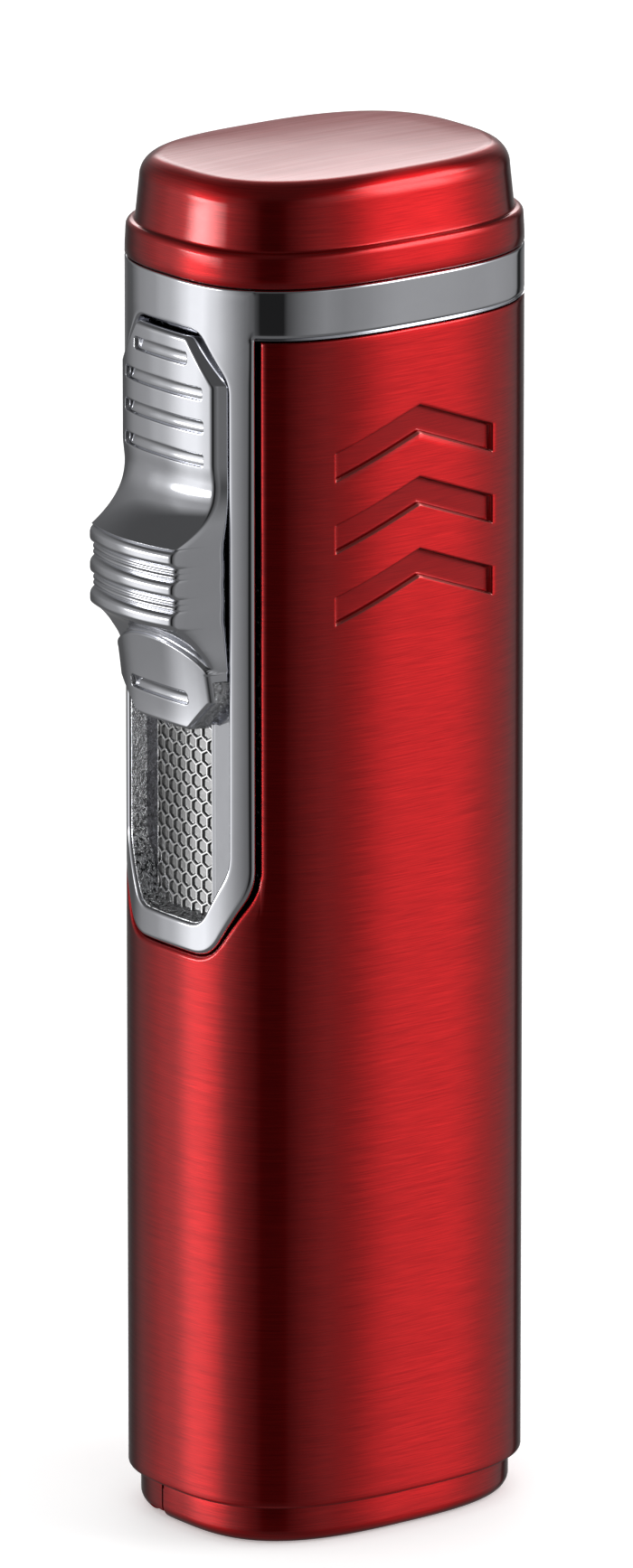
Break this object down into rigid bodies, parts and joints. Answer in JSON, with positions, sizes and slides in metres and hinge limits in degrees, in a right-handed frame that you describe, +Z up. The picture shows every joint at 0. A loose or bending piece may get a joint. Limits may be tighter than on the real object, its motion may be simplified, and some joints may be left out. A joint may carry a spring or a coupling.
{
  "type": "pocket jet torch lighter",
  "caption": "Oval red lacquered pocket jet lighter with a chrome thumb slider on its narrow front, a rear-hinged lid over the burner and a punch arm in the base.",
  "frame": {"origin": "centre of the underside of the case's oval", "axes": "+Z up along the case; -Y to the front, where the slider is; +X to a broad face with chevrons; lid hinge at the back, +Y"},
  "size_m": [0.0186, 0.0274, 0.0852],
  "materials": {
    "lacquer": "translucent red lacquer over brushed metal",
    "chrome": "polished plating",
    "steel": "bare",
    "brass": "machined",
    "black_plastic": "moulded",
    "clear_plastic": "milky",
    "ceramic": "fired ceramic",
    "rubber": "soft"
  },
  "bodies": {
    "case": {"body_shell": "lacquer", "base_cap": "lacquer", "collar_bezel": "chrome", "track_plate": "chrome", "chassis": "black_plastic", "top_deck": "black_plastic", "piezo_body": "black_plastic", "tank_lid": "black_plastic", "slider_spring": "steel", "lid_hinge_pin": "steel", "lid_torsion_spring": "steel", "burner_tube": "steel", "spark_electrode": "steel", "plunger_spring": "steel", "lever_pin": "steel", "base_screw_front": "steel", "base_screw_rear": "steel", "punch_pin": "steel", "refill_spring": "steel", "outlet_valve_body": "brass", "refill_valve_body": "brass", "fuel_tank": "clear_plastic", "jet_disc": "ceramic", "ignition_wire": "rubber", "gas_hose": "rubber", "tank_gasket": "rubber"},
    "slider": {"slider_button": "chrome", "slider_carriage": "black_plastic", "carriage_screw": "steel"},
    "lid": {"lid_cap": "lacquer", "lid_liner": "steel"},
    "plunger": {"piezo_plunger": "ceramic"},
    "lever": {"gas_lever": "steel"},
    "stem": {"valve_stem": "brass"},
    "adjuster": {"flame_adjuster": "brass"},
    "refill": {"refill_stem": "brass"},
    "punch": {"punch_arm": "lacquer", "punch_tube": "steel"}
  },
  "joints": [
    {"name": "slider_slide", "type": "slide", "parent": "case", "child": "slider", "axis": [0, 0, -1], "range_m": [0, 0.01], "stiffness_N_per_m": 150, "springref_m": -0.006, "deforming": ["slider_spring"]},
    {"name": "lid_hinge", "type": "hinge", "parent": "case", "child": "lid", "pos_m": [0, 0.0109, 0.0789], "axis": [-1, 0, 0], "range_deg": [0, 95]},
    {"name": "plunger_slide", "type": "slide", "parent": "case", "child": "plunger", "axis": [0, 0, -1], "range_m": [0, 0.004], "deforming": ["plunger_spring"]},
    {"name": "lever_pivot", "type": "hinge", "parent": "case", "child": "lever", "pos_m": [0, 0.0012, 0.0474], "axis": [1, 0, 0], "range_deg": [0, 9]},
    {"name": "stem_lift", "type": "slide", "parent": "case", "child": "stem", "axis": [0, 0, 1], "range_m": [0, 0.0009]},
    {"name": "adjuster_turn", "type": "hinge", "parent": "case", "child": "adjuster", "pos_m": [0.0036, 0.0042, 0], "axis": [0, 0, 1], "range_deg": [-135, 135]},
    {"name": "refill_press", "type": "slide", "parent": "case", "child": "refill", "axis": [0, 0, 1], "range_m": [0, 0.0012], "stiffness_N_per_m": 300, "springref_m": -0.001, "deforming": ["refill_spring"]},
    {"name": "punch_hinge", "type": "hinge", "parent": "case", "child": "punch", "pos_m": [0, 0.0097, 0.0011], "axis": [1, 0, 0], "range_deg": [0, 180]}
  ],
  "couplings": [
    {"joint": "lid_hinge", "follows": "slider_slide", "rad_per_m": 165.8},
    {"joint": "plunger_slide", "follows": "slider_slide", "ratio": 0.4},
    {"joint": "lever_pivot", "follows": "slider_slide", "rad_per_m": 15.7},
    {"joint": "stem_lift", "follows": "slider_slide", "ratio": 0.09}
  ]
}
